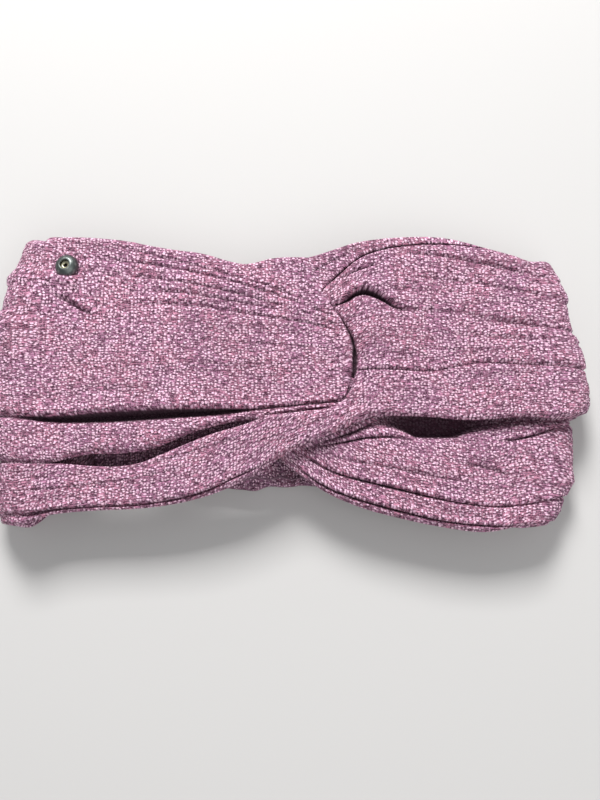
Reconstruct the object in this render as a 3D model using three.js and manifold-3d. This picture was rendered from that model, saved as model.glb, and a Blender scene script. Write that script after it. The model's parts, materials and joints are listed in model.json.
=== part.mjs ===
// A wide twist-front cloth headband, laid down flat: two pleated bands that cross at the front,
// a gathered elastic casing at the back, and a swivelling metal button behind each temple.
// Millimetres, +X along the flattened loop, +Y across it, +Z up. The origin is on the ground, under the middle.
import * as THREE from "three";
import { mergeVertices } from "three/addons/utils/BufferGeometryUtils.js";
import Module from "manifold-3d";

// Overall sizes of the flattened loop
const flatLength = 249;
const flatWidth = 121;
const clearance = 0.3;
const seamGap = 0.9;

// Heights of the middle of the cloth above the ground
const topLevel = 22.5;
const underLevel = 19;
const restLevel = 3.2;
const buttonLevel = 11;

// Bands
const bandDepth = 5;
const crossingGap = 2;
const twistX = 24;
const bandSteps = 60;
const bandAcross = 8;
const edgeFullness = 6;

// Back casing and its elastic
const casingLength = 119;
const casingWidth = 96;
const casingHeight = 7.2;
const casingShiftY = 5;
const casingWall = 2.4;
const casingRound = 2.6;
const channelRound = 0.8;
const elasticRound = 0.4;
const elasticWidth = 84;

// Buttons
const capRadius = 5;
const capHeight = 4;
const capLift = 1.9;
const holeRadius = 1.9;
const neckRadius = 2.2;
const neckBore = 1.2;
const flangeReach = 0.7;
const footReach = 1.2;
const cavityPlay = 0.4;
const flangePlay = 0.5;
const plateThickness = 0.6;
const nailRadius = 0.9;
const nailPoint = 0.6;
const nailPlay = 0.6;
const tackRadius = 4;
const tackThickness = 0.8;
const coreThickness = 0.8;
const coreBore = 0.7;
const coreEase = 0.4;
const capEase = 0.5;
const shoulderInset = 1.2;
const rimWidth = 0.9;
const rimEase = 0.3;
const rimDepth = 0.8;
const crimpDrop = 1.6;
const roundSides = 24;

// Where the buttons sit, as shares of the way along and across their bands
const leftButtonAlong = 0.217;
const leftButtonAcross = 0.925;
const rightButtonAlong = 0.95;
const rightButtonAcross = 0.88;

// Sewing thread
const threadRadius = 0.4;
const threadSides = 3;
const zigzagPitch = 5;
const zigzagReach = 2.2;
const channelWave = 0.6;
const seamInset = 2;
const seamPoints = 30;
const rightSeamAcross = 0.25;
const leftSeamAcross = 0.5;
const seamFrom = 0.06;
const seamTo = 0.94;

// Colours
const clothColour = 0x8a5f86;
const casingColour = 0x7c5579;
const threadColour = 0x6d4a6c;
const elasticColour = 0x2c2830;
const gunmetalColour = 0x3d3c3f;
const brassColour = 0x9a7b45;
const steelColour = 0x8d8f92;

const wasm = await Module();
wasm.setup();

const halfLength = flatLength / 2;
const halfWidth = flatWidth / 2;
const halfDepth = bandDepth / 2;
const overLevel = underLevel + bandDepth + crossingGap;
const flangeRadius = neckRadius + flangeReach;
const footRadius = neckRadius + footReach;
const coreRadius = neckRadius + 0.5 * clearance;
const flangeBase = capLift + plateThickness + flangePlay;
const casingCentreX = -twistX;
const seamLeftX = casingCentreX - casingLength / 2;
const seamRightX = casingCentreX + casingLength / 2;
const casingLowY = casingShiftY - casingWidth / 2;
const casingHighY = casingShiftY + casingWidth / 2;

// A share of the way from the left fold to the twist, and from the twist to the right fold
const left = (share) => -halfLength + share * (halfLength + twistX);
const right = (share) => twistX + share * (halfLength - twistX);
const across = (share) => share * halfWidth;
const at = (x, y, z) => new THREE.Vector3(x, y, z);

// Half a turn of cloth at a fold: side -1 goes up round the left fold, and +1 down round the right one
function foldPoints(side, outX, y, lowZ, highZ) {
  const radius = (highZ - lowZ) / 2;
  const centreX = outX - side * (halfDepth + radius);
  const centreZ = (highZ + lowZ) / 2;
  const angles = [-90, -45, 0, 45, 90];
  if (side > 0) angles.reverse();
  return angles.map((degrees) => {
    const a = THREE.MathUtils.degToRad(degrees);
    return at(centreX + side * radius * Math.cos(a), y, centreZ + radius * Math.sin(a));
  });
}

// The band's middle surface is ruled between two edge curves, matched point by point
function ruledSurface(lowEdge, highEdge) {
  const low = new THREE.CatmullRomCurve3(lowEdge, false, "centripetal");
  const high = new THREE.CatmullRomCurve3(highEdge, false, "centripetal");
  const nudge = 0.002;
  const point = (u, t) => low.getPoint(u).lerp(high.getPoint(u), t);
  const normal = (u, t) => {
    const before = point(Math.max(u - nudge, 0), t);
    const after = point(Math.min(u + nudge, 1), t);
    const width = high.getPoint(u).sub(low.getPoint(u));
    return after.sub(before).cross(width).normalize();
  };
  const width = (u) => low.getPoint(u).distanceTo(high.getPoint(u));
  return { point, normal, width };
}

// A closed band of cloth: a flat section with rounded edges carried along the ruled surface
function bandGeometry(surface, depth, grow) {
  const positions = [];
  const indices = [];
  const ring = 2 * bandAcross;
  for (let i = 0; i <= bandSteps; i++) {
    const u = i / bandSteps;
    const spare = grow / surface.width(u);
    for (let j = 0; j < ring; j++) {
      const angle = (2 * Math.PI * j) / ring;
      const s = Math.sign(-Math.cos(angle)) * Math.abs(Math.cos(angle)) ** 0.7;
      const rise = (depth / 2 + grow) * Math.sqrt(1 - Math.abs(s) ** edgeFullness) * Math.sign(Math.sin(angle));
      const t = THREE.MathUtils.lerp(-spare, 1 + spare, (s + 1) / 2);
      const p = surface.point(u, t).addScaledVector(surface.normal(u, t), rise);
      positions.push(p.x, p.y, p.z);
    }
  }
  for (let i = 0; i < bandSteps; i++) {
    for (let j = 0; j < ring; j++) {
      const a = i * ring + j;
      const b = i * ring + ((j + 1) % ring);
      indices.push(a, a + ring, b, b, a + ring, b + ring);
    }
  }
  const last = bandSteps * ring;
  for (let j = 1; j < ring - 1; j++) {
    indices.push(0, j, j + 1, last, last + j + 1, last + j);
  }
  const geometry = new THREE.BufferGeometry();
  geometry.setAttribute("position", new THREE.Float32BufferAttribute(positions, 3));
  geometry.setIndex(indices);
  return geometry;
}

function toSolid(geometry) {
  const bare = geometry.clone();
  bare.deleteAttribute("normal");
  bare.deleteAttribute("uv");
  const merged = mergeVertices(bare, 1e-4);
  return new wasm.Manifold(
    new wasm.Mesh({
      numProp: 3,
      vertProperties: merged.attributes.position.array,
      triVerts: new Uint32Array(merged.index.array),
    }),
  );
}

function toGeometry(solid) {
  const mesh = solid.getMesh();
  const geometry = new THREE.BufferGeometry();
  geometry.setAttribute("position", new THREE.BufferAttribute(mesh.vertProperties, mesh.numProp));
  geometry.setIndex(new THREE.BufferAttribute(mesh.triVerts, 1));
  geometry.computeVertexNormals();
  return geometry;
}

function namedMesh(name, geometry, color, roughness, metalness) {
  const mesh = new THREE.Mesh(geometry, new THREE.MeshStandardMaterial({ color, roughness, metalness }));
  mesh.name = name;
  return mesh;
}

// The right band comes up the right fold, crosses over the front on a slant and ends as the lowest left pleat
function rightBandSurface() {
  const splitLeftY = across(-0.33);
  const splitRightY = across(-0.12);
  const low = [
    at(seamLeftX - seamGap, casingLowY, casingHeight / 2),
    at(left(0.17), across(-0.8), restLevel),
    ...foldPoints(-1, left(0), across(-0.88), restLevel, topLevel - 1),
    at(left(0.22), across(-0.84), topLevel - 1),
    at(left(0.4), across(-0.8), topLevel - 1),
    at(left(0.58), across(-0.72), topLevel),
    at(left(0.7), across(-0.6), topLevel + 1),
    at(left(0.79), across(-0.52), overLevel - 1),
    at(left(0.87), across(-0.42), overLevel),
    at(left(0.93), across(-0.36), overLevel),
    at(left(0.98), across(-0.31), overLevel),
    at(right(0.04), across(-0.25), overLevel),
    at(right(0.12), across(-0.2), overLevel - 1),
    at(right(0.2), across(-0.2), topLevel + 1),
    at(right(0.28), across(-0.2), topLevel),
    at(right(0.36), across(-0.2), topLevel),
    at(right(0.44), across(-0.2), topLevel),
    at(right(0.54), across(-0.2), topLevel),
    at(right(0.7), across(-0.2), topLevel),
    ...foldPoints(1, right(1), across(-0.2), restLevel, topLevel),
    at(right(0.6), across(-0.18), restLevel),
    at(seamRightX + seamGap, splitRightY + clearance, casingHeight / 2),
  ];
  const high = [
    at(seamLeftX - seamGap, splitLeftY - clearance, casingHeight / 2),
    at(left(0.17), across(-0.47), restLevel),
    ...foldPoints(-1, left(0), across(-0.53), restLevel, topLevel - 1),
    at(left(0.24), across(-0.52), topLevel - 1),
    at(left(0.42), across(-0.45), topLevel - 1),
    at(left(0.6), across(-0.32), topLevel + 1),
    at(left(0.72), across(-0.18), overLevel - 1),
    at(left(0.81), across(-0.14), overLevel),
    at(left(0.87), across(-0.12), overLevel),
    at(left(0.92), across(-0.11), overLevel),
    at(left(0.96), across(-0.11), overLevel),
    at(left(0.995), across(-0.1), overLevel),
    at(right(0.03), across(0.1), overLevel - 1),
    at(right(0.02), across(0.36), topLevel + 1),
    at(right(-0.08), across(0.66), topLevel),
    at(right(-0.04), across(0.92), topLevel),
    at(right(0.12), across(1), topLevel),
    at(right(0.34), across(1), topLevel),
    at(right(0.56), across(0.97), topLevel),
    ...foldPoints(1, right(0.82), across(0.86), buttonLevel, topLevel),
    at(right(0.4), across(0.82), buttonLevel - 1),
    at(seamRightX + seamGap, casingHighY, casingHeight / 2),
  ];
  return ruledSurface(low, high);
}

// The left band comes up the left fold, turns down round its own rounded edge, dips under the right band
// and fans out to the lower right
function leftBandSurface() {
  const splitLeftY = across(-0.33);
  const splitRightY = across(-0.12);
  const low = [
    at(seamLeftX - seamGap, splitLeftY + clearance, casingHeight / 2),
    at(left(0.17), across(-0.45), restLevel),
    ...foldPoints(-1, left(0), across(-0.5), restLevel, topLevel),
    at(left(0.3), across(-0.41), topLevel),
    at(left(0.48), across(-0.34), topLevel),
    at(left(0.62), across(-0.28), topLevel - 1),
    at(left(0.71), across(-0.26), underLevel + 0.5),
    at(left(0.75), across(-0.28), underLevel),
    at(left(0.77), across(-0.31), underLevel),
    at(left(0.785), across(-0.345), underLevel),
    at(left(0.795), across(-0.38), underLevel),
    at(left(0.81), across(-0.42), underLevel),
    at(left(0.825), across(-0.48), underLevel),
    at(left(0.85), across(-0.54), underLevel),
    at(left(0.88), across(-0.62), underLevel),
    at(left(0.95), across(-0.72), underLevel),
    at(right(0.07), across(-0.82), underLevel),
    at(right(0.3), across(-0.92), underLevel),
    at(right(0.56), across(-0.99), underLevel),
    ...foldPoints(1, right(0.86), across(-0.95), restLevel, underLevel),
    at(right(0.5), across(-0.86), restLevel),
    at(seamRightX + seamGap, casingLowY, casingHeight / 2),
  ];
  const high = [
    at(seamLeftX - seamGap, casingHighY, casingHeight / 2),
    at(left(0.2), across(0.9), restLevel),
    ...foldPoints(-1, left(0.1), across(0.94), restLevel, topLevel - 3),
    at(left(0.36), across(0.99), topLevel),
    at(left(0.54), across(0.93), topLevel),
    at(left(0.68), across(0.85), topLevel),
    at(left(0.79), across(0.86), topLevel),
    at(left(0.9), across(0.86), topLevel),
    at(left(0.935), across(0.64), topLevel),
    at(left(1), across(0.38), topLevel),
    at(left(1.01), across(0.1), topLevel - 1),
    at(left(1), across(-0.1), underLevel + 0.5),
    at(right(0.02), across(-0.21), underLevel),
    at(right(0.07), across(-0.3), underLevel),
    at(right(0.14), across(-0.34), underLevel),
    at(right(0.26), across(-0.35), underLevel),
    at(right(0.42), across(-0.35), underLevel),
    at(right(0.58), across(-0.32), underLevel),
    at(right(0.72), across(-0.28), underLevel),
    ...foldPoints(1, right(0.96), across(-0.25), restLevel, underLevel),
    at(right(0.58), across(-0.22), restLevel),
    at(seamRightX + seamGap, splitRightY - clearance, casingHeight / 2),
  ];
  return ruledSurface(low, high);
}

// Where a button sits: on the outer face of the cloth, with its own +Z along the cloth's outward direction
function buttonPlace(surface, u, t) {
  const axis = surface.normal(u, t);
  const group = new THREE.Group();
  group.position.copy(surface.point(u, t)).addScaledVector(axis, halfDepth);
  group.quaternion.setFromUnitVectors(at(0, 0, 1), axis);
  return group;
}

function latheMesh(name, profile, color, roughness, metalness) {
  const points = profile.map(([r, h]) => new THREE.Vector2(r, h));
  const geometry = new THREE.LatheGeometry(points, roundSides).rotateX(Math.PI / 2);
  return namedMesh(name, geometry, color, roughness, metalness);
}

// The hollow domed cap, open at the top and crimped in under the neck's flange
function buttonCap(name) {
  const cavityRadius = flangeRadius + cavityPlay;
  const throatRadius = neckRadius + clearance;
  const top = capLift + capHeight;
  const profile = [
    [throatRadius, capLift],
    [capRadius - capEase, capLift],
    [capRadius, capLift + 0.15 * capHeight],
    [capRadius, capLift + 0.33 * capHeight],
    [capRadius - 0.8 * capEase, top - 0.4 * capHeight],
    [capRadius - shoulderInset, top - 0.17 * capHeight],
    [holeRadius + rimWidth, top - 0.03 * capHeight],
    [holeRadius + rimEase, top],
    [holeRadius, top - rimEase],
    [holeRadius, top - rimDepth],
    [cavityRadius - rimEase, top - 1.25 * rimDepth],
    [cavityRadius, top - crimpDrop],
    [cavityRadius, capLift + plateThickness],
    [throatRadius, capLift + plateThickness],
    [throatRadius, capLift],
  ];
  return latheMesh(name, profile, gunmetalColour, 0.35, 0.9);
}

// The shank: a foot plate on the cloth, a tube and the flange that the cap turns on
function buttonNeck(name) {
  const profile = [
    [neckBore, clearance],
    [footRadius, clearance],
    [footRadius, clearance + plateThickness],
    [neckRadius, clearance + plateThickness],
    [neckRadius, flangeBase],
    [flangeRadius, flangeBase],
    [flangeRadius, flangeBase + plateThickness],
    [neckBore, flangeBase + plateThickness],
    [neckBore, clearance],
  ];
  return latheMesh(name, profile, steelColour, 0.4, 0.9);
}

// The brass insert that shows at the bottom of the cap's hole
function buttonCore(name) {
  const base = flangeBase + plateThickness + clearance;
  const half = base + 0.5 * coreThickness;
  const profile = [
    [coreBore, base],
    [coreRadius, base],
    [coreRadius, half],
    [coreRadius - coreEase, base + coreThickness],
    [coreBore + coreEase, base + coreThickness],
    [coreBore, half],
    [coreBore, base],
  ];
  return latheMesh(name, profile, brassColour, 0.45, 0.9);
}

// The nail and its disc, pressed through the cloth from the inner side into the neck
function buttonTack(name) {
  const discTop = -bandDepth - clearance;
  const nailTop = capLift + plateThickness;
  const profile = [
    [0, discTop - tackThickness],
    [tackRadius, discTop - tackThickness],
    [tackRadius, discTop],
    [nailRadius, discTop],
    [nailRadius, nailTop - nailPoint],
    [0, nailTop],
  ];
  return latheMesh(name, profile, steelColour, 0.4, 0.9);
}

// The eyelet hole that the nail passes through, as a solid to cut away
function nailHole(place) {
  const hole = new THREE.CylinderGeometry(nailRadius + nailPlay, nailRadius + nailPlay, 3 * bandDepth, roundSides);
  hole.rotateX(Math.PI / 2);
  place.updateMatrix();
  return toSolid(hole.applyMatrix4(place.matrix));
}

// A thread along a list of points
function threadMesh(name, points, steps) {
  const section = new THREE.Shape();
  section.absarc(0, 0, threadRadius, 0, 2 * Math.PI, false);
  const geometry = new THREE.ExtrudeGeometry(section, {
    steps,
    curveSegments: threadSides,
    extrudePath: new THREE.CatmullRomCurve3(points, false, "centripetal"),
  });
  return namedMesh(name, geometry, threadColour, 0.8, 0);
}

// The overcast seam that joins a band end to the casing, a zigzag across the joint on the inner side
function sideSeamThread(name, seamX) {
  const z = casingHeight + clearance + threadRadius;
  const count = Math.floor((casingWidth - 2 * seamInset) / zigzagPitch);
  const points = [];
  for (let i = 0; i <= count; i++) {
    const side = i % 2 ? 1 : -1;
    points.push(at(seamX + side * zigzagReach, casingLowY + seamInset + i * zigzagPitch, z));
  }
  return threadMesh(name, points, 2 * count);
}

// The lengthwise seam on a band's inner face
function bandSeamThread(name, surface, t) {
  const drop = -(halfDepth + clearance + threadRadius);
  const points = [];
  for (let i = 0; i <= seamPoints; i++) {
    const u = THREE.MathUtils.lerp(seamFrom, seamTo, i / seamPoints);
    points.push(surface.point(u, t).addScaledVector(surface.normal(u, t), drop));
  }
  return threadMesh(name, points, 2 * seamPoints);
}

// A row of channel stitching along the casing's inner face
function casingThread(name, y) {
  const z = casingHeight + clearance + threadRadius;
  const margin = zigzagReach + 2 * threadRadius + clearance;
  const run = casingLength - 2 * margin;
  const count = Math.round(run / zigzagPitch);
  const points = [];
  for (let i = 0; i <= count; i++) {
    const side = i % 2 ? 1 : -1;
    points.push(at(seamLeftX + margin + (run * i) / count, y + side * channelWave, z));
  }
  return threadMesh(name, points, 2 * count);
}

function roundedBox(width, height, radius, ShapeClass) {
  const shape = new ShapeClass();
  const x = width / 2 - radius;
  const y = height / 2 - radius;
  shape.absarc(x, y, radius, 0, Math.PI / 2, false);
  shape.absarc(-x, y, radius, Math.PI / 2, Math.PI, false);
  shape.absarc(-x, -y, radius, Math.PI, 1.5 * Math.PI, false);
  shape.absarc(x, -y, radius, 1.5 * Math.PI, 2 * Math.PI, false);
  shape.closePath();
  return shape;
}

// Turns an outline in the YZ plane, extruded along +X, into place at the casing
function alongCasing(geometry, length) {
  geometry.rotateX(Math.PI / 2);
  geometry.rotateZ(Math.PI / 2);
  geometry.translate(casingCentreX - length / 2, casingShiftY, casingHeight / 2);
  return geometry;
}

// The gathered back casing, a flat tube with open ends
function backCasing() {
  const outer = roundedBox(casingWidth, casingHeight, casingRound, THREE.Shape);
  const channel = roundedBox(casingWidth - 2 * casingWall, casingHeight - 2 * casingWall, channelRound, THREE.Path);
  outer.holes.push(channel);
  const options = { depth: casingLength, bevelEnabled: false, curveSegments: 5 };
  const geometry = alongCasing(new THREE.ExtrudeGeometry(outer, options), casingLength);
  return namedMesh("back_casing", geometry, casingColour, 0.95, 0);
}

function backElastic() {
  const thickness = casingHeight - 2 * casingWall - 2 * clearance;
  const length = casingLength - 2 * clearance;
  const outline = roundedBox(elasticWidth, thickness, elasticRound, THREE.Shape);
  const options = { depth: length, bevelEnabled: false, curveSegments: 4 };
  const geometry = alongCasing(new THREE.ExtrudeGeometry(outline, options), length);
  return namedMesh("back_elastic", geometry, elasticColour, 0.9, 0);
}

function buttonParts(side, place) {
  place.add(
    buttonCap(`${side}_button_cap`),
    buttonCore(`${side}_button_core`),
    buttonNeck(`${side}_button_neck`),
    buttonTack(`${side}_button_tack`),
  );
  return place;
}

const rightSurface = rightBandSurface();
const leftSurface = leftBandSurface();
const leftButton = buttonPlace(leftSurface, leftButtonAlong, leftButtonAcross);
const rightButton = buttonPlace(rightSurface, rightButtonAlong, rightButtonAcross);

const rightSolid = toSolid(bandGeometry(rightSurface, bandDepth, 0)).subtract(nailHole(rightButton));
const room = toSolid(bandGeometry(rightSurface, bandDepth, clearance));
const leftSolid = toSolid(bandGeometry(leftSurface, bandDepth, 0)).subtract(room).subtract(nailHole(leftButton));

const headband = new THREE.Group();
headband.add(
  namedMesh("right_band", toGeometry(rightSolid), clothColour, 0.95, 0),
  namedMesh("left_band", toGeometry(leftSolid), clothColour, 0.95, 0),
  backCasing(),
  backElastic(),
  sideSeamThread("left_side_seam_thread", seamLeftX),
  sideSeamThread("right_side_seam_thread", seamRightX),
  bandSeamThread("right_band_seam_thread", rightSurface, rightSeamAcross),
  bandSeamThread("left_band_seam_thread", leftSurface, leftSeamAcross),
  casingThread("casing_upper_channel_thread", casingShiftY + elasticWidth / 2),
  casingThread("casing_seam_thread", casingShiftY),
  casingThread("casing_lower_channel_thread", casingShiftY - elasticWidth / 2),
  buttonParts("left", leftButton),
  buttonParts("right", rightButton),
);

// The group's own frame stands under the middle of everything in it
const model = new THREE.Group();
const box = new THREE.Box3().setFromObject(headband, true);
const middle = box.getCenter(new THREE.Vector3());
headband.position.set(-middle.x, -middle.y, -box.min.z);
model.add(headband);

export default model;
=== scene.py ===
import json
import math

import bpy
import numpy as np
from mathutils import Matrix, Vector


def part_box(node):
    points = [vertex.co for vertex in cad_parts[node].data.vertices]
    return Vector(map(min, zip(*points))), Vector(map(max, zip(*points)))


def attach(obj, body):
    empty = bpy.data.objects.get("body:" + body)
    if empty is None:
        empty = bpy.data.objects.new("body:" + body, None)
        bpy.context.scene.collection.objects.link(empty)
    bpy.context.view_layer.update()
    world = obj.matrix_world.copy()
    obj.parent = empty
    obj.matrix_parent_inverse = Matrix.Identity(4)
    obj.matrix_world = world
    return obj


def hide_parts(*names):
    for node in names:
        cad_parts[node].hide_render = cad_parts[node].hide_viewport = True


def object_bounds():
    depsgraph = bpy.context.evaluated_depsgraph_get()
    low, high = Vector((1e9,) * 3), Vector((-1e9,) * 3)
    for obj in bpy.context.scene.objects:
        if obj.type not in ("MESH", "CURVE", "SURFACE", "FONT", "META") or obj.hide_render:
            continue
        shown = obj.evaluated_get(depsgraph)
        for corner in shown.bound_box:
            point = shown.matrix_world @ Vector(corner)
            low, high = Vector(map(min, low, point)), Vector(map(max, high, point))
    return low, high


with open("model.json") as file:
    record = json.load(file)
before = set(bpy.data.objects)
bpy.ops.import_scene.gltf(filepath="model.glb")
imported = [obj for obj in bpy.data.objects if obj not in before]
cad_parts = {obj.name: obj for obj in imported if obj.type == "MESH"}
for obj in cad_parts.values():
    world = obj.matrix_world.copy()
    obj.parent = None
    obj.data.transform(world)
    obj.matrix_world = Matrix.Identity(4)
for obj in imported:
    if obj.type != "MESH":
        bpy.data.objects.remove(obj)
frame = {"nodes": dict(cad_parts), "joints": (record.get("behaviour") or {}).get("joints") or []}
cadLow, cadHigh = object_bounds()
mm = 0.001

# The pattern is drawn in millimetres as it looks from the camera, on a nominal headband, and is then
# fitted to the CAD box. Heights are those of the middle of the cloth above the floor.
nominal = {"halfLength": 123.57, "halfWidth": 60.32, "bandTop": 28.48, "middle": (0.85, -0.67)}
view = {"target": (5.83, -6.48, 24), "distance": 345, "elevation": 80, "seenHeight": 332}
fit = np.array([cadHigh.x / (nominal["halfLength"] * mm), cadHigh.y / (nominal["halfWidth"] * mm),
                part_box("right_band")[1].z / (nominal["bandTop"] * mm)])
depth = 5.0
level = {"top": 22.5, "over": 26.0, "under": 19.0, "rest": 3.4, "button": 11.0, "casing": 3.6}


def fromView(x, y, z):
    # The true place, at height z, of a point that the camera sees at x, y on the plane of the top.
    # Near the floor, under the folds, the pattern isn't seen from there and keeps its x and y.
    lean = math.radians(view["elevation"])
    c, s, far = math.cos(lean), math.sin(lean), view["distance"]
    plainX, plainY = x + nominal["middle"][0], y + nominal["middle"][1]
    seenX, seenY, up = plainX - view["target"][0], plainY - view["target"][1], z - view["target"][2]
    trueY = (seenY * (far - s * up) / far - c * up) / (s - c * seenY / far)
    trueX = seenX * (far + c * trueY - s * up) / far
    seen = np.clip((z - 4) / 8, 0, 1)
    return (plainX + seen * (trueX + view["target"][0] - plainX),
            plainY + seen * (trueY + view["target"][1] - plainY))


def placed(points):
    # edge points of x, y and height, put in their true places
    p = np.asarray(points, float)
    x, y = fromView(p[:, 0], p[:, 1], p[:, 2])
    return np.stack([x, y, p[:, 2]], -1)


class Wire:
    # one socket of a material's nodes; arithmetic on it adds Math nodes
    def __init__(self, tree, socket):
        self.tree = tree
        self.socket = socket

    def maths(self, operation, *values):
        node = self.tree.nodes.new("ShaderNodeMath")
        node.operation = operation
        for slot, value in zip(node.inputs, values):
            join(self.tree, slot, value)
        return Wire(self.tree, node.outputs[0])

    def __add__(self, other):
        return self.maths("ADD", self, other)

    def __sub__(self, other):
        return self.maths("SUBTRACT", self, other)

    def __mul__(self, other):
        return self.maths("MULTIPLY", self, other)

    def step(self, low, high):
        # 0 below low, 1 above high and smooth between; low may be the larger one
        node = self.tree.nodes.new("ShaderNodeMapRange")
        node.interpolation_type = "SMOOTHSTEP"
        for name, value in (("Value", self), ("From Min", low), ("From Max", high)):
            join(self.tree, node.inputs[name], value)
        return Wire(self.tree, node.outputs["Result"])


def join(tree, slot, value):
    if isinstance(value, Wire):
        tree.links.new(value.socket, slot)
    else:
        slot.default_value = value


class Recipe:
    # a material with one shader; node() makes any node from its type, its settings and its inputs
    def __init__(self, name):
        self.material = bpy.data.materials.new(name)
        self.material.use_nodes = True
        self.tree = self.material.node_tree
        self.shader = self.tree.nodes["Principled BSDF"]

    def node(self, kind, settings=None, output=0, **inputs):
        made = self.tree.nodes.new(kind)
        for key, value in (settings or {}).items():
            setattr(made, key, value)
        for key, value in inputs.items():
            join(self.tree, made.inputs[key.replace("_", " ")], value)
        return Wire(self.tree, made.outputs[output])

    def mix(self, amount, first, second):
        made = self.tree.nodes.new("ShaderNodeMix")
        made.data_type = "RGBA"
        for slot, value in ((0, amount), (6, first), (7, second)):
            join(self.tree, made.inputs[slot], value)
        return Wire(self.tree, made.outputs[2])

    def scaled(self, vector, scale):
        made = self.tree.nodes.new("ShaderNodeVectorMath")
        made.operation = "MULTIPLY"
        join(self.tree, made.inputs[0], vector)
        made.inputs[1].default_value = scale
        return Wire(self.tree, made.outputs[0])

    def pitched(self, vector, pitch):
        # the cloth's place counted in steps of a pattern: pitch is its step along and across
        return self.scaled(vector, (1 / pitch[0], 1 / pitch[1], 0))

    def shifted(self, vector, other):
        made = self.tree.nodes.new("ShaderNodeVectorMath")
        made.operation = "ADD"
        join(self.tree, made.inputs[0], vector)
        join(self.tree, made.inputs[1], other)
        return Wire(self.tree, made.outputs[0])

    def finish(self, **values):
        for key, value in values.items():
            join(self.tree, self.shader.inputs[key.replace("_", " ")], value)
        return self.material


def boucleCloth(name, look):
    # pale nubs in rows along the cloth, on fine dark-grounded threads, with slow changes of tint, and painted
    # shade in creases and under the terraces
    r = Recipe(name)
    cloth = r.node("ShaderNodeUVMap", {"uv_map": "cloth"})
    wobble = r.node("ShaderNodeTexNoise", {"noise_dimensions": "2D"}, output="Color",
                    Vector=cloth, Scale=420.0, Detail=3.0)
    bent = r.shifted(cloth, r.scaled(wobble, look["wobble"]))
    rows = r.pitched(bent, look["nubPitch"])
    nubs = r.node("ShaderNodeTexVoronoi", {"voronoi_dimensions": "2D"}, output="Distance",
                  Vector=rows, Scale=1.0, Randomness=0.85)
    chance = r.node("ShaderNodeTexVoronoi", {"voronoi_dimensions": "2D"}, output="Color",
                    Vector=rows, Scale=1.0, Randomness=0.85)
    specks = r.node("ShaderNodeTexVoronoi", {"voronoi_dimensions": "2D"}, output="Distance",
                    Vector=r.pitched(bent, look["speckPitch"]), Scale=1.0)
    pick = r.node("ShaderNodeSeparateColor", None, "Red", Color=chance)
    tone = r.node("ShaderNodeSeparateColor", None, "Green", Color=chance)
    nub = (nubs - pick * 0.12).step(0.42, 0.14) * pick.step(0.1, 0.5)
    speck = specks.step(0.5, 0.15)
    weft = r.node("ShaderNodeTexNoise", {"noise_dimensions": "2D"}, output="Fac", Detail=2.0,
                  Vector=r.pitched(bent, look["weftPitch"]), Scale=1.0)
    warp = r.node("ShaderNodeTexNoise", {"noise_dimensions": "2D"}, output="Fac", Detail=1.0,
                  Vector=r.pitched(bent, look["warpPitch"]), Scale=1.0)
    threads = (weft * 0.7 + warp * 0.3).step(0.43, 0.61)
    patch = r.node("ShaderNodeTexNoise", {"noise_dimensions": "2D"}, output="Fac", Detail=3.0,
                   Vector=cloth, Scale=70.0)
    slub = r.node("ShaderNodeTexNoise", {"noise_dimensions": "2D"}, output="Fac", Detail=2.0,
                  Vector=r.pitched(cloth, look["slubPitch"]), Scale=1.0)
    middle = r.mix(patch.step(0.35, 0.65), look["mauve"], look["rose"])
    ground = r.mix(threads, look["dark"], middle)
    ground = r.mix(speck * 0.2, ground, look["nub"])
    pale = r.mix(tone, look["nub"], look["nubWarm"])
    colour = r.mix(nub * 0.95, ground, pale)
    colour = r.mix(slub.step(0.5, 0.72) * look["slub"], colour, look["dark"])
    # painted shade: the colour goes towards the shadow colour where the attribute sunk is large, deep in
    # creases and under the terraces
    sunk = r.node("ShaderNodeAttribute", {"attribute_name": "sunk"}, output="Fac")
    colour = r.mix(sunk.step(1.2, 4.4) * 0.94, colour, look["shadow"])
    height = nub + threads * 0.3 + speck * 0.3
    bump = r.node("ShaderNodeBump", None, "Normal", Strength=look["bump"], Distance=0.0006, Height=height)
    return r.finish(Base_Color=colour, Roughness=0.9, Normal=bump, Sheen_Weight=0.1, Sheen_Roughness=0.5,
                    Sheen_Tint=(0.9, 0.6, 0.75, 1), Specular_IOR_Level=0.2)


clothLook = {
    "nubPitch": (0.00142, 0.00108), "speckPitch": (0.0008, 0.00054), "weftPitch": (0.003, 0.00036),
    "warpPitch": (0.00045, 0.003), "slubPitch": (0.05, 0.0018), "wobble": (0.0012, 0.0006, 0),
    "bump": 1.0, "slub": 0.3,
    "dark": (0.06, 0.016, 0.036, 1), "mauve": (0.42, 0.18, 0.3, 1), "rose": (0.52, 0.21, 0.31, 1),
    "nub": (0.92, 0.58, 0.77, 1), "nubWarm": (0.98, 0.64, 0.78, 1), "shadow": (0.03, 0.008, 0.018, 1),
}
# the casing's cloth is the band cloth with a darker ground and more dark slubs, painted shade for where it
# lies in under the bands
casingShadedLook = dict(clothLook, mauve=(0.3, 0.13, 0.23, 1), rose=(0.34, 0.14, 0.22, 1), slub=0.5)


def threadYarn(name, colour):
    # one colour, darker by up to four tenths where fine noise is low
    r = Recipe(name)
    place = r.node("ShaderNodeTexCoord", output="Object")
    fuzz = r.node("ShaderNodeTexNoise", output="Fac", Vector=place, Scale=2400.0, Detail=2.0)
    shade = r.mix(fuzz, tuple(c * 0.6 for c in colour[:3]) + (1,), colour)
    bump = r.node("ShaderNodeBump", None, "Normal", Strength=0.6, Distance=0.0001, Height=fuzz)
    return r.finish(Base_Color=shade, Roughness=0.75, Normal=bump, Sheen_Weight=0.2)


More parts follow.
